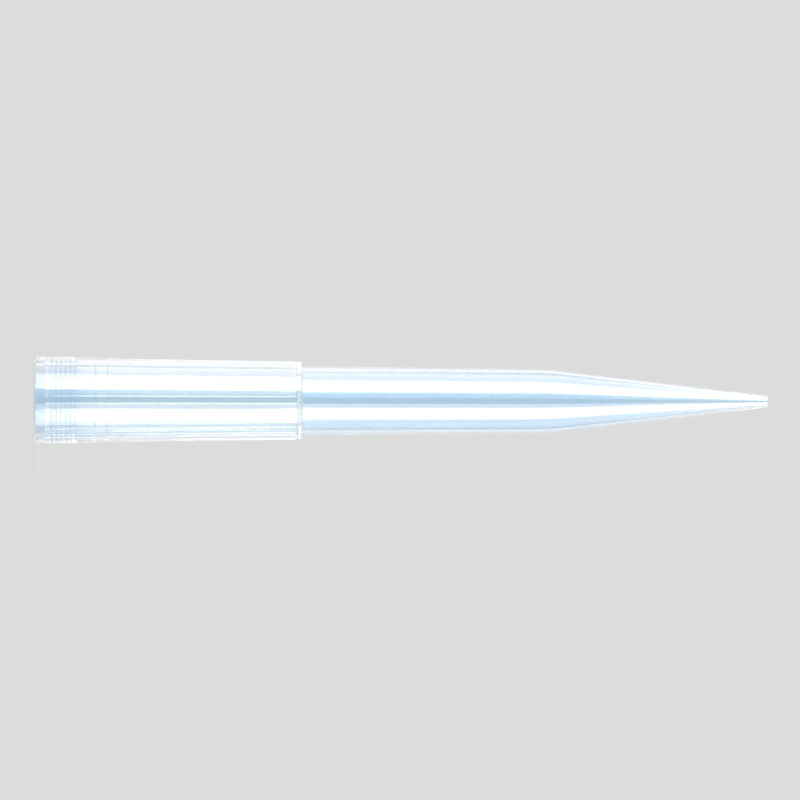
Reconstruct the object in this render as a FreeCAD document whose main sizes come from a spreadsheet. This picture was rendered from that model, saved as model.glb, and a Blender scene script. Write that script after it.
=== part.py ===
"""Pipette tip of the 1000 microlitre size: one hollow injection moulding in clear polypropylene.

A long drafted collar with a raised rim band, stepped down twice, holds the socket that presses onto the pipette's
nose. Inside its mouth are a lead-in cone and a row of fine sealing rings. Below the socket the bore necks down at a
ledge, just above the square shoulder on the outside, and runs through a slender barrel and a thin-walled nose to the
outlet.

The origin is the centre of the rim face and +Z runs along the axis to the outlet, so the tip stands on its rim.
Lengths are in millimetres and angles in degrees.
"""

import FreeCAD, Part
import math
import os

import Sketcher

SIZES = (
    # Socket, from the mouth down
    ("seat_bore_diameter", 7.22, "bore that the pipette's nose seats in"),
    ("lead_in_length", 1.1, "cone at the mouth that guides the nose in"),
    ("lead_in_flare", 0.3, "how much wider the mouth is than the seat, on the radius"),
    ("seat_length", 8.0, "straight part of the socket"),
    ("socket_draft_angle", 0.93, "taper of the socket past the seat"),
    # Sealing rings
    ("ring_count", 6, "rings inside the seat"),
    ("ring_pitch", 0.48, "from one ring to the next"),
    ("ring_start", 0.54, "from the end of the lead-in to the middle of the first ring"),
    ("ring_width", 0.3, "foot of a ring, on the seat's wall"),
    ("ring_crest_width", 0.06, "flat top of a ring"),
    ("ring_height", 0.03, "how far a ring stands out of the seat"),
    # Collar
    ("collar_length", 26.85, "rim face to shoulder"),
    ("rim_wall", 0.74, "wall around the seat, at the rim face"),
    ("collar_draft_angle", 0.8, "taper of the collar's outside"),
    ("rim_band_length", 6.1, "thicker band next to the rim"),
    ("rim_band_step", 0.03, "how far the band stands out of its foot"),
    ("band_foot_length", 1.2, "foot of the band, half as proud of the collar"),
    ("band_foot_step", 0.03, "how far the foot stands out of the collar"),
    ("rim_round", 0.15, "rounding of the rim's outer edge"),
    ("shoulder_round", 0.1, "rounding of the shoulder's outer edge"),
    # Ledge between the socket and the barrel
    ("ledge_width", 0.39, "how much the bore narrows, on the radius"),
    ("ledge_length", 0.4, "length of the narrowing cone"),
    ("ledge_floor", 0.1, "from the end of the ledge to the shoulder"),
    # Barrel
    ("barrel_length", 24.75, "shoulder to nose"),
    ("barrel_wall", 0.5, "wall just past the shoulder"),
    ("barrel_draft_angle", 0.62, "taper of the barrel's outside"),
    ("barrel_bore_draft_angle", 0.25, "taper of the barrel's bore"),
    # Nose
    ("nose_length", 21.9, "end of the barrel to the outlet"),
    ("nose_blend_radius", 28.0, "soft turn from the barrel into the nose"),
    ("outlet_bore_diameter", 0.65, "opening at the point"),
    ("outlet_wall", 0.25, "wall at the point"),
)

doc = FreeCAD.newDocument("PipetteTip")
sheet = doc.addObject("Spreadsheet::Sheet", "Sizes")
for row, (alias, value, meaning) in enumerate(SIZES, start=1):
    sheet.set(f"A{row}", meaning)
    sheet.set(f"B{row}", str(value))
    sheet.setAlias(f"B{row}", alias)
doc.recompute()

# Heights and radii that follow from the sizes, as expressions for the sketches.
SEAT_END = "(Sizes.lead_in_length + Sizes.seat_length)"
LEDGE_END = "(Sizes.collar_length - Sizes.ledge_floor)"
LEDGE_START = f"({LEDGE_END} - Sizes.ledge_length)"
BARREL_END = "(Sizes.collar_length + Sizes.barrel_length)"
OUTLET = f"({BARREL_END} + Sizes.nose_length)"

SEAT_RADIUS = "(Sizes.seat_bore_diameter / 2)"
SOCKET_END_RADIUS = f"({SEAT_RADIUS} - ({LEDGE_START} - {SEAT_END}) * tan(Sizes.socket_draft_angle))"
BARREL_BORE_RADIUS = f"({SOCKET_END_RADIUS} - Sizes.ledge_width)"
BARREL_BORE_END_RADIUS = f"({BARREL_BORE_RADIUS} - ({BARREL_END} - {LEDGE_END}) * tan(Sizes.barrel_bore_draft_angle))"
OUTLET_BORE_RADIUS = "(Sizes.outlet_bore_diameter / 2)"

RIM_RADIUS = f"({SEAT_RADIUS} + Sizes.rim_wall)"
FOOT_END = "(Sizes.rim_band_length + Sizes.band_foot_length)"
BAND_END_RADIUS = f"({RIM_RADIUS} - Sizes.rim_band_length * tan(Sizes.collar_draft_angle))"
FOOT_RADIUS = f"({RIM_RADIUS} - Sizes.rim_band_step)"
FOOT_END_RADIUS = f"({FOOT_RADIUS} - {FOOT_END} * tan(Sizes.collar_draft_angle))"
SHOULDER_RADIUS = f"({FOOT_RADIUS} - Sizes.band_foot_step - Sizes.collar_length * tan(Sizes.collar_draft_angle))"
BARREL_RADIUS = f"({BARREL_BORE_RADIUS} + Sizes.barrel_wall)"
BARREL_END_RADIUS = f"({BARREL_RADIUS} - Sizes.barrel_length * tan(Sizes.barrel_draft_angle))"


def origin_feature(body, role):
    """One of the body's own origin planes or axes."""
    return next(feature for feature in body.Origin.OriginFeatures if feature.Role == role)


def bind(sketch, name, constraint, expression):
    """Adds a named constraint to the sketch, with its value held by an expression."""
    index = sketch.addConstraint(Sketcher.Constraint(*constraint, float(sketch.evalExpression(expression))))
    sketch.renameConstraint(index, name)
    sketch.setExpression(f"Constraints.{name}", expression)


def half_section(body, name, corners, **blends):
    """A closed outline on the plane through the axis, with its x along the radius and its y along the axis.

    A corner is its name, radius and height. Each is an expression, or None for on the axis or on the rim plane.
    A corner named in blends is rounded by an arc of that radius.
    """
    sketch = body.newObject("Sketcher::SketchObject", name)
    sketch.AttachmentSupport = [(origin_feature(body, "XZ_Plane"), "")]
    sketch.MapMode = "FlatFace"
    places = [
        FreeCAD.Vector(*(float(sketch.evalExpression(size or "0")) for size in (radius, height)))
        for _, radius, height in corners
    ]
    for start, end in zip(places, places[1:] + places[:1]):
        sketch.addGeometry(Part.LineSegment(start, end))
    for index, (corner, radius, height) in enumerate(corners):
        sketch.addConstraint(Sketcher.Constraint("Coincident", (index - 1) % len(corners), 2, index, 1))
        if radius is None:
            sketch.addConstraint(Sketcher.Constraint("PointOnObject", index, 1, -2))
        else:
            bind(sketch, f"{corner}_radius", ("DistanceX", -1, 1, index, 1), radius)
        if height is None:
            sketch.addConstraint(Sketcher.Constraint("PointOnObject", index, 1, -1))
        else:
            bind(sketch, f"{corner}_height", ("DistanceY", -1, 1, index, 1), height)
    for index, (corner, _, _) in enumerate(corners):
        if corner in blends:
            arc = sketch.GeometryCount
            sketch.fillet(index, 1, float(sketch.evalExpression(blends[corner])), True, True)
            bind(sketch, f"{corner}_blend", ("Radius", arc), blends[corner])
    return sketch


def turn(body, kind, name, sketch):
    """Turns the sketch a full circle about the axis, as an added Revolution or a cut Groove."""
    feature = body.newObject(f"PartDesign::{kind}", name)
    feature.Profile = sketch
    feature.ReferenceAxis = (sketch, ["V_Axis"])
    feature.Angle = 360
    doc.recompute()
    return feature


def round_edge(body, name, sketch, corner, radius):
    """Rounds the circular edge that a corner of the half section drew."""
    base = body.Tip
    datum = next(constraint for constraint in sketch.Constraints if constraint.Name == f"{corner}_radius")
    place = sketch.getPoint(datum.Second, datum.SecondPos)
    edges = [
        f"Edge{number}"
        for number, edge in enumerate(base.Shape.Edges, start=1)
        if isinstance(edge.Curve, Part.Circle)
        and math.isclose(edge.Curve.Radius, place.x, abs_tol=1e-4)
        and math.isclose(edge.Curve.Center.z, place.y, abs_tol=1e-4)
    ]
    fillet = body.newObject("PartDesign::Fillet", name)
    fillet.Base = (base, edges)
    fillet.setExpression("Radius", radius)
    doc.recompute()
    return fillet


tip = doc.addObject("PartDesign::Body", "PipetteTipBody")
tip.Label = "pipette_tip"
tip.Placement = FreeCAD.Placement()

# Outside of the moulding: rim band, collar, shoulder, barrel and nose.
outside = half_section(
    tip,
    "OutsideSection",
    [
        ("axis_foot", None, None),
        ("rim", RIM_RADIUS, None),
        ("band_end", BAND_END_RADIUS, "Sizes.rim_band_length"),
        ("foot_start", f"{BAND_END_RADIUS} - Sizes.rim_band_step", "Sizes.rim_band_length + Sizes.rim_band_step"),
        ("foot_end", FOOT_END_RADIUS, FOOT_END),
        ("collar_start", f"{FOOT_END_RADIUS} - Sizes.band_foot_step", f"{FOOT_END} + Sizes.band_foot_step"),
        ("shoulder", SHOULDER_RADIUS, "Sizes.collar_length"),
        ("barrel_start", BARREL_RADIUS, "Sizes.collar_length"),
        ("barrel_end", BARREL_END_RADIUS, BARREL_END),
        ("outlet", f"{OUTLET_BORE_RADIUS} + Sizes.outlet_wall", OUTLET),
        ("axis_top", None, OUTLET),
    ],
    barrel_end="Sizes.nose_blend_radius",
)
blank = turn(tip, "Revolution", "Blank", outside)

# Core of the mould: lead-in, seat, tapered socket, ledge, barrel bore and nose bore.
inside = half_section(
    tip,
    "InsideSection",
    [
        ("core_foot", None, None),
        ("mouth", f"{SEAT_RADIUS} + Sizes.lead_in_flare", None),
        ("seat_start", SEAT_RADIUS, "Sizes.lead_in_length"),
        ("seat_end", SEAT_RADIUS, SEAT_END),
        ("ledge_start", SOCKET_END_RADIUS, LEDGE_START),
        ("ledge_end", BARREL_BORE_RADIUS, LEDGE_END),
        ("bore_end", BARREL_BORE_END_RADIUS, BARREL_END),
        ("outlet_bore", OUTLET_BORE_RADIUS, OUTLET),
        ("core_top", None, OUTLET),
    ],
    bore_end="Sizes.nose_blend_radius",
)
bore = turn(tip, "Groove", "Bore", inside)

# One sealing ring is a low ridge on the seat's wall, repeated along the axis.
RING_MIDDLE = "(Sizes.lead_in_length + Sizes.ring_start)"
CREST_RADIUS = f"({SEAT_RADIUS} - Sizes.ring_height)"
ring_section = half_section(
    tip,
    "RingSection",
    [
        ("foot_near_mouth", SEAT_RADIUS, f"{RING_MIDDLE} - Sizes.ring_width / 2"),
        ("foot_near_ledge", SEAT_RADIUS, f"{RING_MIDDLE} + Sizes.ring_width / 2"),
        ("crest_near_ledge", CREST_RADIUS, f"{RING_MIDDLE} + Sizes.ring_crest_width / 2"),
        ("crest_near_mouth", CREST_RADIUS, f"{RING_MIDDLE} - Sizes.ring_crest_width / 2"),
    ],
)
ring = turn(tip, "Revolution", "SealingRing", ring_section)

rings = tip.newObject("PartDesign::LinearPattern", "SealingRings")
rings.Originals = [ring]
rings.Direction = (ring_section, ["V_Axis"])
rings.setExpression("Occurrences", "Sizes.ring_count")
rings.setExpression("Length", "(Sizes.ring_count - 1) * Sizes.ring_pitch")
tip.Tip = rings
doc.recompute()

round_edge(tip, "RimRound", outside, "rim", "Sizes.rim_round")
round_edge(tip, "ShoulderRound", outside, "shoulder", "Sizes.shoulder_round")

for feature in doc.Objects:
    if {"Invalid", "Error"} & set(feature.State):
        raise RuntimeError(f"{feature.Label} failed: {feature.State}")
if tip.Shape.isNull() or not tip.Shape.isValid() or len(tip.Shape.Solids) != 1:
    raise RuntimeError("The tip isn't one valid solid")
if not bore.Shape.Volume < min(blank.Shape.Volume, rings.Shape.Volume):
    raise RuntimeError("The bore or the sealing rings are missing")

os.makedirs("parts", exist_ok=True)
tip.Shape.exportStep(f"parts/{tip.Label}.step")
print(f"{tip.Label}: {tip.Shape.Volume:.1f} mm3, {tip.Shape.BoundBox.ZLength:.2f} mm long")
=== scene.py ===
"""A 1000 microlitre pipette tip, standing on its rim, dressed in clear moulded polypropylene."""

import math

import bmesh
import bpy
from mathutils import Matrix, Vector


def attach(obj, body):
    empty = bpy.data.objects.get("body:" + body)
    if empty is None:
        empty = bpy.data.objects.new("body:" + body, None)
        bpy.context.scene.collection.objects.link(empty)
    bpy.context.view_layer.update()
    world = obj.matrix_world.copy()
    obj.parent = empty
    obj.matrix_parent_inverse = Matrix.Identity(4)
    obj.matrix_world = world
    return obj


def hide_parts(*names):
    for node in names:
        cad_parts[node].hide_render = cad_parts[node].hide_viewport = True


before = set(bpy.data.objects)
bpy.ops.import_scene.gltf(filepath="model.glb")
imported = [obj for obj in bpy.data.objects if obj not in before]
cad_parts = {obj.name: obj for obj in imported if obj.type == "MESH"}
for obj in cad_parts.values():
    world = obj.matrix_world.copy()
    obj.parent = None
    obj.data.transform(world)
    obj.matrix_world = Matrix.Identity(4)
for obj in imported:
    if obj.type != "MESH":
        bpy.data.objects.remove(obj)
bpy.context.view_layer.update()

# The tip ------------------------------------------------------------------------------------------
# The whole tip is one thin-walled injection moulding in clear polypropylene, formed between a polished
# cavity and a long core pin. Its half section is drawn once, outside from rim to outlet and inside back
# to the mouth, and turned.

MM = 0.001  # metres
TURN_STEPS = 256

RIM_RADIUS = 4.35 * MM
RIM_BAND_END = (4.265 * MM, 6.1 * MM)
BAND_FOOT_START = (4.235 * MM, 6.13 * MM)
BAND_FOOT_END = (4.218 * MM, 7.3 * MM)
COLLAR_START = (4.188 * MM, 7.33 * MM)
SHOULDER = (3.915 * MM, 26.85 * MM)
BARREL_START = (3.44 * MM, 26.85 * MM)
BARREL_END = (3.172 * MM, 51.6 * MM)
OUTLET = (0.575 * MM, 73.5 * MM)

MOUTH_RADIUS = 3.91 * MM
SEAT_RADIUS = 3.61 * MM
SEAT_START, SEAT_END = 1.1 * MM, 9.1 * MM
LEDGE_START = (3.33 * MM, 26.35 * MM)
LEDGE_END = (2.94 * MM, 26.75 * MM)
BORE_END = (2.83 * MM, 51.6 * MM)
OUTLET_BORE_RADIUS = 0.325 * MM

RING_COUNT = 6
RING_PITCH, FIRST_RING = 0.48 * MM, 1.64 * MM
RING_WIDTH, RING_CREST_WIDTH, RING_HEIGHT = 0.3 * MM, 0.06 * MM, 0.03 * MM

NOSE_BLEND = 1.5 * MM  # length of the soft turn on each side of the corner
RIM_ROUND, SHOULDER_ROUND, LEDGE_ROUND = 0.15 * MM, 0.1 * MM, 0.12 * MM
BAND_STEP_ROUND = 0.01 * MM
MOULD_EDGE = 0.03 * MM  # what polishing leaves on a corner that is meant to be sharp
HOLD = 0.02 * MM  # how far a holding edge stands from a corner
SHORTEST_HELD_WALL = 5 * HOLD
SHARP_FROM = math.radians(20)
SAME_PLACE, SAME_POINT = 1e-7, 1e-8  # metres: to find a corner, and to merge points after turning


def ring_corners(index):
    """The four corners of one sealing ring's ridge on the seat wall, nearest the mouth first."""
    middle = FIRST_RING + index * RING_PITCH
    foot, crest = RING_WIDTH / 2, RING_CREST_WIDTH / 2
    return [
        (SEAT_RADIUS, middle - foot),
        (SEAT_RADIUS - RING_HEIGHT, middle - crest),
        (SEAT_RADIUS - RING_HEIGHT, middle + crest),
        (SEAT_RADIUS, middle + foot),
    ]


outside = [
    (RIM_RADIUS, 0.0),
    RIM_BAND_END,
    BAND_FOOT_START,
    BAND_FOOT_END,
    COLLAR_START,
    SHOULDER,
    BARREL_START,
    BARREL_END,
    OUTLET,
]
inside = [
    (MOUTH_RADIUS, 0.0),
    (SEAT_RADIUS, SEAT_START),
    *(corner for index in range(RING_COUNT) for corner in ring_corners(index)),
    (SEAT_RADIUS, SEAT_END),
    LEDGE_START,
    LEDGE_END,
    BORE_END,
    (OUTLET_BORE_RADIUS, OUTLET[1]),
]

section = bmesh.new()
corners = [section.verts.new((radius, 0.0, height)) for radius, height in outside + inside[::-1]]
for start, end in zip(corners, corners[1:] + corners[:1]):
    section.edges.new((start, end))


def soften(places, offset, segments):
    """Rounds the corners of the section that stand at the given places."""
    targets = [Vector((radius, 0.0, height)) for radius, height in places]
    verts = [v for v in section.verts if any((v.co - target).length < SAME_PLACE for target in targets)]
    bmesh.ops.bevel(
        section, geom=verts, offset=offset, affect="VERTICES", segments=segments, profile=0.5, material=-1
    )


soften([BARREL_END, BORE_END], NOSE_BLEND, 12)
soften([(RIM_RADIUS, 0.0)], RIM_ROUND, 6)
soften([SHOULDER], SHOULDER_ROUND, 5)
soften([RIM_BAND_END, BAND_FOOT_START, BAND_FOOT_END, COLLAR_START], BAND_STEP_ROUND, 2)
soften([BARREL_START, (MOUTH_RADIUS, 0.0), (SEAT_RADIUS, SEAT_START)], MOULD_EDGE, 3)
soften([LEDGE_START, LEDGE_END], LEDGE_ROUND, 8)
soften([OUTLET, (OUTLET_BORE_RADIUS, OUTLET[1])], MOULD_EDGE, 3)
# A holding edge near each end of a long wall keeps the wall straight to the eye beside its rounded corners.
for wall in [edge for edge in section.edges if edge.calc_length() > SHORTEST_HELD_WALL]:
    for end in list(wall.verts):
        bmesh.utils.edge_split(wall, end, HOLD / wall.calc_length())

bmesh.ops.spin(
    section,
    geom=section.verts[:] + section.edges[:],
    cent=(0.0, 0.0, 0.0),
    axis=(0.0, 0.0, 1.0),
    dvec=(0.0, 0.0, 0.0),
    angle=math.tau,
    steps=TURN_STEPS,
    use_merge=True,
)
bmesh.ops.remove_doubles(section, verts=section.verts, dist=SAME_POINT)
bmesh.ops.recalc_face_normals(section, faces=section.faces)
tip_mesh = bpy.data.meshes.new("tip_moulding")
section.to_mesh(tip_mesh)
section.free()
tip_mesh.polygons.foreach_set("use_smooth", [True] * len(tip_mesh.polygons))
tip_mesh.set_sharp_from_angle(angle=SHARP_FROM)
tip = bpy.data.objects.new("tip_moulding", tip_mesh)
bpy.context.collection.objects.link(tip)


def srgb(code):
    """A hex colour as linear RGBA."""
    parts = [int(code[index : index + 2], 16) / 255 for index in (1, 3, 5)]
    return (*(part / 12.92 if part <= 0.04045 else ((part + 0.055) / 1.055) ** 2.4 for part in parts), 1.0)


def add_node(tree, kind, settings=None, inputs=None, links=None):
    """Adds a shader node: its settings, the values of its inputs, and the sockets that feed them."""
    node = tree.nodes.new(kind)
    for name, value in (settings or {}).items():
        setattr(node, name, value)
    for name, value in (inputs or {}).items():
        node.inputs[name].default_value = value
    for name, socket in (links or {}).items():
        tree.links.new(socket, node.inputs[name])
    return node


# Clarified polypropylene from a polished mould: clear and glossy with a cool blue tint. The core pin leaves
# faint lengthwise draw lines and scores in the socket, and satin faces at the lead-in and the ledge, where
# it is turned but not polished. The rim face, where the mould parts, is satin too. Its colour is painted
# untinted white there as a painted highlight, so that it shows as a pale line.
polypropylene = bpy.data.materials.new("clarified_polypropylene_moulded")
polypropylene.use_nodes = True
tree = polypropylene.node_tree
tree.nodes.clear()
place = add_node(tree, "ShaderNodeTexCoord").outputs["Object"]
across, toward_back, height = add_node(tree, "ShaderNodeSeparateXYZ", links={"Vector": place}).outputs

SCORES = (
    # bearing round the bore from the side that faces the camera, in degrees, and share of the full depth
    (-5.7, 0.45),
    (4.5, 0.8),
    (48.0, 1.0),
    (61.0, 1.0),
)
SCORE_REACH, SCORE_DEPTH = 0.09 * MM, 0.02 * MM
DRAW_LINE_SPACING, DRAW_LINE_STRETCH, DRAW_LINE_SHARE = 0.5 * MM, 0.01, 0.6

toward = add_node(
    tree, "ShaderNodeMath", {"operation": "MULTIPLY"}, {1: -1.0}, {0: toward_back}
).outputs["Value"]
bearing = add_node(
    tree, "ShaderNodeMath", {"operation": "ARCTAN2"}, links={0: across, 1: toward}
).outputs["Value"]
fine_lines = add_node(
    tree,
    "ShaderNodeTexNoise",
    inputs={"Scale": 1 / DRAW_LINE_SPACING, "Detail": 2.0, "Roughness": 0.5},
    links={
        "Vector": add_node(
            tree,
            "ShaderNodeMapping",
            inputs={"Scale": (1.0, 1.0, DRAW_LINE_STRETCH)},
            links={"Vector": place},
        ).outputs["Vector"]
    },
).outputs["Fac"]
relief = add_node(
    tree,
    "ShaderNodeMath",
    {"operation": "MULTIPLY_ADD"},
    {1: DRAW_LINE_SHARE, 2: -0.5 * DRAW_LINE_SHARE},
    {0: fine_lines},
).outputs["Value"]
for angle, share in SCORES:
    off = add_node(
        tree, "ShaderNodeMath", {"operation": "SUBTRACT"}, {1: math.radians(angle)}, {0: bearing}
    ).outputs["Value"]
    off = add_node(tree, "ShaderNodeMath", {"operation": "ABSOLUTE"}, links={0: off}).outputs["Value"]
    score = add_node(
        tree,
        "ShaderNodeMapRange",
        {"interpolation_type": "SMOOTHSTEP"},
        inputs={"From Min": 0.0, "From Max": SCORE_REACH / SEAT_RADIUS, "To Min": share, "To Max": 0.0},
        links={"Value": off},
    ).outputs["Result"]
    relief = add_node(
        tree, "ShaderNodeMath", {"operation": "ADD"}, links={0: relief, 1: score}
    ).outputs["Value"]
past_lead_in = add_node(
    tree,
    "ShaderNodeMapRange",
    {"interpolation_type": "SMOOTHSTEP"},
    inputs={"From Min": 0.8 * SEAT_START, "From Max": SEAT_START},
    links={"Value": height},
).outputs["Result"]
in_socket = add_node(
    tree,
    "ShaderNodeMapRange",
    {"interpolation_type": "SMOOTHSTEP"},
    inputs={"From Min": LEDGE_START[1], "From Max": LEDGE_END[1], "To Min": 1.0, "To Max": 0.0},
    links={"Value": height},
).outputs["Result"]
in_socket = add_node(
    tree, "ShaderNodeMath", {"operation": "MULTIPLY"}, links={0: in_socket, 1: past_lead_in}
).outputs["Value"]
line_relief = add_node(
    tree, "ShaderNodeMath", {"operation": "MULTIPLY"}, links={0: relief, 1: in_socket}
).outputs["Value"]
skin = add_node(
    tree,
    "ShaderNodeBump",
    inputs={"Strength": 1.0, "Distance": SCORE_DEPTH},
    links={"Height": line_relief},
).outputs["Normal"]

CLOUDING = 3.0 * MM
CLEAREST, CLOUDIEST = 0.02, 0.06  # roughness
clouding = add_node(
    tree,
    "ShaderNodeTexNoise",
    inputs={"Scale": 1 / CLOUDING, "Detail": 3.0},
    links={"Vector": place},
).outputs["Fac"]
gloss = add_node(
    tree,
    "ShaderNodeMapRange",
    inputs={"From Min": 0.3, "From Max": 0.7, "To Min": CLEAREST, "To Max": CLOUDIEST},
    links={"Value": clouding},
).outputs["Result"]
SATIN_RIM, SATIN_ROUGHNESS = 0.22 * MM, 0.4
satin = add_node(
    tree,
    "ShaderNodeMapRange",
    {"interpolation_type": "SMOOTHSTEP"},
    inputs={"From Min": 0.5 * SATIN_RIM, "From Max": SATIN_RIM, "To Min": 1.0, "To Max": 0.0},
    links={"Value": height},
).outputs["Result"]
roughness = add_node(
    tree,
    "ShaderNodeMix",
    {"data_type": "FLOAT"},
    inputs={"B": SATIN_ROUGHNESS},
    links={"Factor": satin, "A": gloss},
).outputs["Result"]
from_axis = add_node(
    tree, "ShaderNodeVectorMath", {"operation": "MULTIPLY"}, {1: (1.0, 1.0, 0.0)}, {0: place}
).outputs["Vector"]
radius = add_node(
    tree, "ShaderNodeVectorMath", {"operation": "LENGTH"}, links={0: from_axis}
).outputs["Value"]
TURNED_FACES = (
    # the lead-in and the ledge: lowest and highest point, and a radius that parts them from the outside
    (0.0, SEAT_START, 4.1 * MM),
    (LEDGE_START[1], SHOULDER[1], 3.385 * MM),
)
for low, high, reach in TURNED_FACES:
    level = add_node(
        tree,
        "ShaderNodeMath",
        {"operation": "COMPARE"},
        {1: (low + high) / 2, 2: (high - low) / 2},
        {0: height},
    ).outputs["Value"]
    inner = add_node(
        tree, "ShaderNodeMath", {"operation": "LESS_THAN"}, {1: reach}, {0: radius}
    ).outputs["Value"]
    turned = add_node(
        tree, "ShaderNodeMath", {"operation": "MULTIPLY"}, links={0: level, 1: inner}
    ).outputs["Value"]
    turned = add_node(
        tree, "ShaderNodeMath", {"operation": "MULTIPLY"}, {1: SATIN_ROUGHNESS}, {0: turned}
    ).outputs["Value"]
    roughness = add_node(
        tree, "ShaderNodeMath", {"operation": "MAXIMUM"}, links={0: roughness, 1: turned}
    ).outputs["Value"]
WALL_TINT_AND_RIM_HIGHLIGHT = (
    # height above the rim, and the colour there: untinted white in the satin face, a painted highlight that
    # shows the rim as a pale line; then the blue tint of the wall, deepest next to it, where the wall is
    # thickest, and faint in the thin wall of the nose
    (0.5 * SATIN_RIM, "#FFFFFF"),
    (SATIN_RIM, "#D7ECFB"),
    (4.0 * MM, "#D7ECFB"),
    (6.5 * MM, "#E0F2FD"),
    (26.5 * MM, "#E0F2FD"),
    (27.5 * MM, "#DBF0FF"),
    (55.0 * MM, "#DBF0FF"),
    (63.0 * MM, "#E2F4FF"),
    (OUTLET[1], "#E6F6FF"),
)
along = add_node(
    tree, "ShaderNodeMapRange", inputs={"From Max": OUTLET[1]}, links={"Value": height}
).outputs["Result"]
# The ramp gives the wall its blue tint, and paints the rim face white as a painted highlight.
wall_tint_and_rim_highlight = add_node(tree, "ShaderNodeValToRGB", links={"Fac": along})
stops = wall_tint_and_rim_highlight.color_ramp.elements
while len(stops) < len(WALL_TINT_AND_RIM_HIGHLIGHT):
    stops.new(0.5)
for stop, (stop_height, colour) in zip(stops, WALL_TINT_AND_RIM_HIGHLIGHT):
    stop.position, stop.color = stop_height / OUTLET[1], srgb(colour)
shader = add_node(
    tree,
    "ShaderNodeBsdfPrincipled",
    inputs={"IOR": 1.49, "Transmission Weight": 1.0},
    links={"Base Color": wall_tint_and_rim_highlight.outputs["Color"], "Roughness": roughness, "Normal": skin},
)
add_node(tree, "ShaderNodeOutputMaterial", links={"Surface": shader.outputs["BSDF"]})
tip_mesh.materials.append(polypropylene)

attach(tip, "root")
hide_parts("pipette_tip")

# The floor ----------------------------------------------------------------------------------------
# A plain pale grey sheet of paper that the tip stands on. It shows one even grey to the eye and through
# the clear plastic, and takes a soft shadow round the rim.

BACKDROP_GREY = srgb("#DCDCDC")
FLOOR_RADIUS = 60 * MM
SHADOW_REACH, SHADOW_DEPTH = 45 * MM, 0.5
MIRROR_REACH = 30 * MM  # seen in the plastic, the floor has faded away by here, and the lamps show below it
FLOOR_GAP = 0.02 * MM  # keeps the floor and the rim face from lying in one plane

floor_shape = bmesh.new()
bmesh.ops.create_circle(floor_shape, cap_ends=True, radius=FLOOR_RADIUS, segments=96)
bmesh.ops.translate(floor_shape, verts=floor_shape.verts, vec=(0.0, 0.0, -FLOOR_GAP))
floor_mesh = bpy.data.meshes.new("floor")
floor_shape.to_mesh(floor_mesh)
floor_shape.free()
floor = bpy.data.objects.new("floor", floor_mesh)
bpy.context.collection.objects.link(floor)

paper = bpy.data.materials.new("matt_grey_paper")
paper.use_nodes = True
tree = paper.node_tree
tree.nodes.clear()
path = add_node(tree, "ShaderNodeLightPath")
distance = add_node(
    tree,
    "ShaderNodeVectorMath",
    {"operation": "LENGTH"},
    links={0: add_node(tree, "ShaderNodeTexCoord").outputs["Object"]},
).outputs["Value"]
evenness = add_node(
    tree,
    "ShaderNodeMapRange",
    {"interpolation_type": "SMOOTHSTEP"},
    inputs={"From Max": SHADOW_REACH, "To Min": 1.0 - SHADOW_DEPTH},
    links={"Value": distance},
).outputs["Result"]
even_share = add_node(
    tree,
    "ShaderNodeMath",
    {"operation": "MULTIPLY"},
    links={0: path.outputs["Is Camera Ray"], 1: evenness},
).outputs["Value"]
in_plastic = add_node(
    tree,
    "ShaderNodeMath",
    {"operation": "MAXIMUM"},
    links={0: path.outputs["Is Glossy Ray"], 1: path.outputs["Is Transmission Ray"]},
).outputs["Value"]
even_share = add_node(
    tree, "ShaderNodeMath", {"operation": "MAXIMUM"}, links={0: even_share, 1: in_plastic}
).outputs["Value"]
faded = add_node(
    tree,
    "ShaderNodeMapRange",
    {"interpolation_type": "SMOOTHSTEP"},
    inputs={"From Min": 0.5 * MIRROR_REACH, "From Max": MIRROR_REACH},
    links={"Value": distance},
).outputs["Result"]
faded = add_node(
    tree, "ShaderNodeMath", {"operation": "MULTIPLY"}, links={0: faded, 1: in_plastic}
).outputs["Value"]
even = add_node(tree, "ShaderNodeEmission", inputs={"Color": BACKDROP_GREY}).outputs["Emission"]
lit = add_node(tree, "ShaderNodeBsdfDiffuse", inputs={"Color": BACKDROP_GREY}).outputs["BSDF"]
sheet = add_node(tree, "ShaderNodeMixShader", links={0: even_share, 1: lit, 2: even}).outputs["Shader"]
clear = add_node(tree, "ShaderNodeBsdfTransparent").outputs["BSDF"]
sheet = add_node(tree, "ShaderNodeMixShader", links={0: faded, 1: sheet, 2: clear}).outputs["Shader"]
add_node(tree, "ShaderNodeOutputMaterial", links={"Surface": sheet})
floor_mesh.materials.append(paper)

# The room -----------------------------------------------------------------------------------------
# The same even grey stands behind everything and shows in the clear plastic. Matt surfaces get a plain
# soft light from all round instead.

ROOM_LIGHT = 0.9
world = bpy.data.worlds.new("studio")
bpy.context.scene.world = world
world.use_nodes = True
tree = world.node_tree
tree.nodes.clear()
path = add_node(tree, "ShaderNodeLightPath")
seen = path.outputs["Is Camera Ray"]
for kind in ("Is Glossy Ray", "Is Transmission Ray"):
    seen = add_node(
        tree,
        "ShaderNodeMath",
        {"operation": "MAXIMUM"},
        links={0: seen, 1: path.outputs[kind]},
    ).outputs["Value"]
shown = add_node(tree, "ShaderNodeBackground", inputs={"Color": BACKDROP_GREY}).outputs["Background"]
ambient = add_node(
    tree, "ShaderNodeBackground", inputs={"Color": (1.0, 1.0, 1.0, 1.0), "Strength": ROOM_LIGHT}
).outputs["Background"]
room = add_node(tree, "ShaderNodeMixShader", links={0: seen, 1: ambient, 2: shown})
add_node(tree, "ShaderNodeOutputWorld", links={"Surface": room.outputs["Shader"]})

# The lamps ----------------------------------------------------------------------------------------
# Soft panels stand in a ring round the tip and reach far past both its ends, so that each draws one clean
# streak along the wall, and one hangs overhead for the floor. A panel's brightness is that of its face,
# where 1 is a lit white card. The ring is warm, so that its streaks come out white in the cool plastic.

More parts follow.
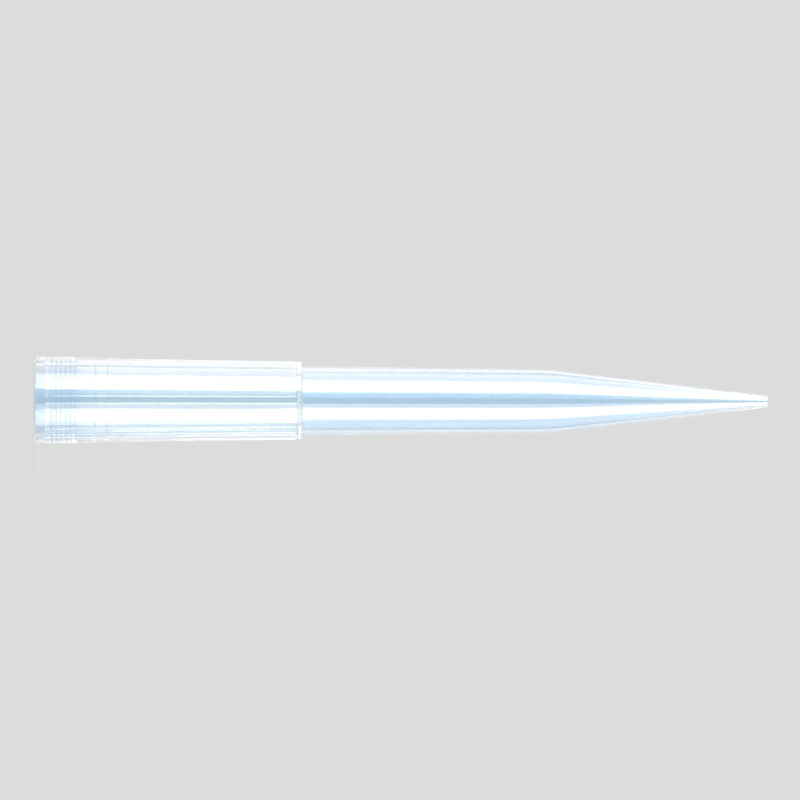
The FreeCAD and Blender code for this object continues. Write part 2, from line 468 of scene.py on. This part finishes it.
LAMP_DISTANCE, LAMP_FOOT, LAMP_TOP = 0.5, -0.25, 0.3
OVERHEAD_HEIGHT, OVERHEAD_WIDTH, OVERHEAD_BRIGHTNESS = 0.6, 0.5, 0.6
LAMPS = (
    # name, bearing from the camera's side (+ to the right), width as seen from the tip, brightness, tint
    ("front_left", -53, 45, 10.4, "#FFE7D3"),
    ("near_left", -8, 34, 0.5, "#FFE7D3"),
    ("near_right", 18, 15, 4.2, "#FFE7D3"),
    ("front_right", 48.5, 46, 7.9, "#FFE7D3"),
    ("side_left", -96.5, 41, 3.9, "#FFDFCC"),
    ("side_right", 92.5, 42, 1.8, "#FFDFCC"),
    ("back_left", -144, 35, 0.6, "#FFDFCC"),
    ("back_right", 146, 28, 0.4, "#FFDFCC"),
)


def add_lamp(name, width, height, brightness, tint, place, aim):
    """Hangs a soft panel that shows itself only in what it lights and is mirrored in."""
    lamp = bpy.data.lights.new(name, "AREA")
    lamp.shape = "RECTANGLE"
    lamp.size, lamp.size_y = width, height
    lamp.energy = brightness * math.pi * width * height
    lamp.color = srgb(tint)[:3]
    panel = bpy.data.objects.new(name, lamp)
    bpy.context.collection.objects.link(panel)
    panel.location = place
    panel.rotation_mode = "QUATERNION"
    panel.rotation_quaternion = aim.to_track_quat("-Z", "Y")
    panel.visible_camera = False
    return panel


for name, bearing, width, brightness, tint in LAMPS:
    outward = Vector((math.sin(math.radians(bearing)), -math.cos(math.radians(bearing)), 0.0))
    panel = add_lamp(
        name,
        2 * LAMP_DISTANCE * math.tan(math.radians(width / 2)),
        LAMP_TOP - LAMP_FOOT,
        brightness,
        tint,
        outward * LAMP_DISTANCE + Vector((0.0, 0.0, (LAMP_TOP + LAMP_FOOT) / 2)),
        -outward,
    )
    panel.visible_diffuse = False  # gloss alone, so that a matt surface renders as its colour is written
    # Only light that a surface has mirrored shows the panel, so it never glares straight through the tip.
    panel.data.use_nodes = True
    tree = panel.data.node_tree
    tree.nodes.clear()
    path = add_node(tree, "ShaderNodeLightPath")
    mirrored = add_node(
        tree, "ShaderNodeMath", {"operation": "MINIMUM"}, {1: 1.0}, {0: path.outputs["Glossy Depth"]}
    ).outputs["Value"]
    glow = add_node(tree, "ShaderNodeEmission", links={"Strength": mirrored}).outputs["Emission"]
    add_node(tree, "ShaderNodeOutputLight", links={"Surface": glow})
add_lamp(
    "overhead",
    OVERHEAD_WIDTH,
    OVERHEAD_WIDTH,
    OVERHEAD_BRIGHTNESS,
    "#FFFFFF",
    Vector((0.0, 0.0, OVERHEAD_HEIGHT)),
    Vector((0.0, 0.0, -1.0)),
)

# The camera ---------------------------------------------------------------------------------------
# It looks nearly square to the axis from well back and low down, through a long lens, and is rolled a
# quarter turn so that the rim is on the left.

CAMERA_PLACE = Vector((0.0, -2.0, 10 * MM))
VIEW_WIDTH, VIEW_CENTRE = 80.2 * MM, 36.65 * MM
AXIS_DROP = math.radians(0.13)  # how far the axis runs down to the right
AIM_ABOVE = 0.09 * MM  # the middle of the view lies this far above the axis

to_centre = Vector((-AIM_ABOVE, 0.0, VIEW_CENTRE)) - CAMERA_PLACE
camera_data = bpy.data.cameras.new("camera")
camera_data.sensor_width = 36.0
camera_data.lens = camera_data.sensor_width * to_centre.length / VIEW_WIDTH
camera_data.clip_end = 20.0
camera = bpy.data.objects.new("camera", camera_data)
bpy.context.collection.objects.link(camera)
back = -to_centre.normalized()
up = Matrix.Rotation(-AXIS_DROP, 3, "Y") @ Vector((-1.0, 0.0, 0.0))
right = up.cross(back)
camera.rotation_mode = "QUATERNION"
camera.rotation_quaternion = Matrix((right, up, back)).transposed().to_quaternion()
camera.location = CAMERA_PLACE
bpy.context.scene.camera = camera
bpy.context.scene.view_settings.view_transform = "Standard"

# Light that the ledge and the rim turn along the wall is led a long way inside it before it leaves.
paths = bpy.context.scene.cycles
paths.max_bounces = paths.glossy_bounces = paths.transmission_bounces = 512
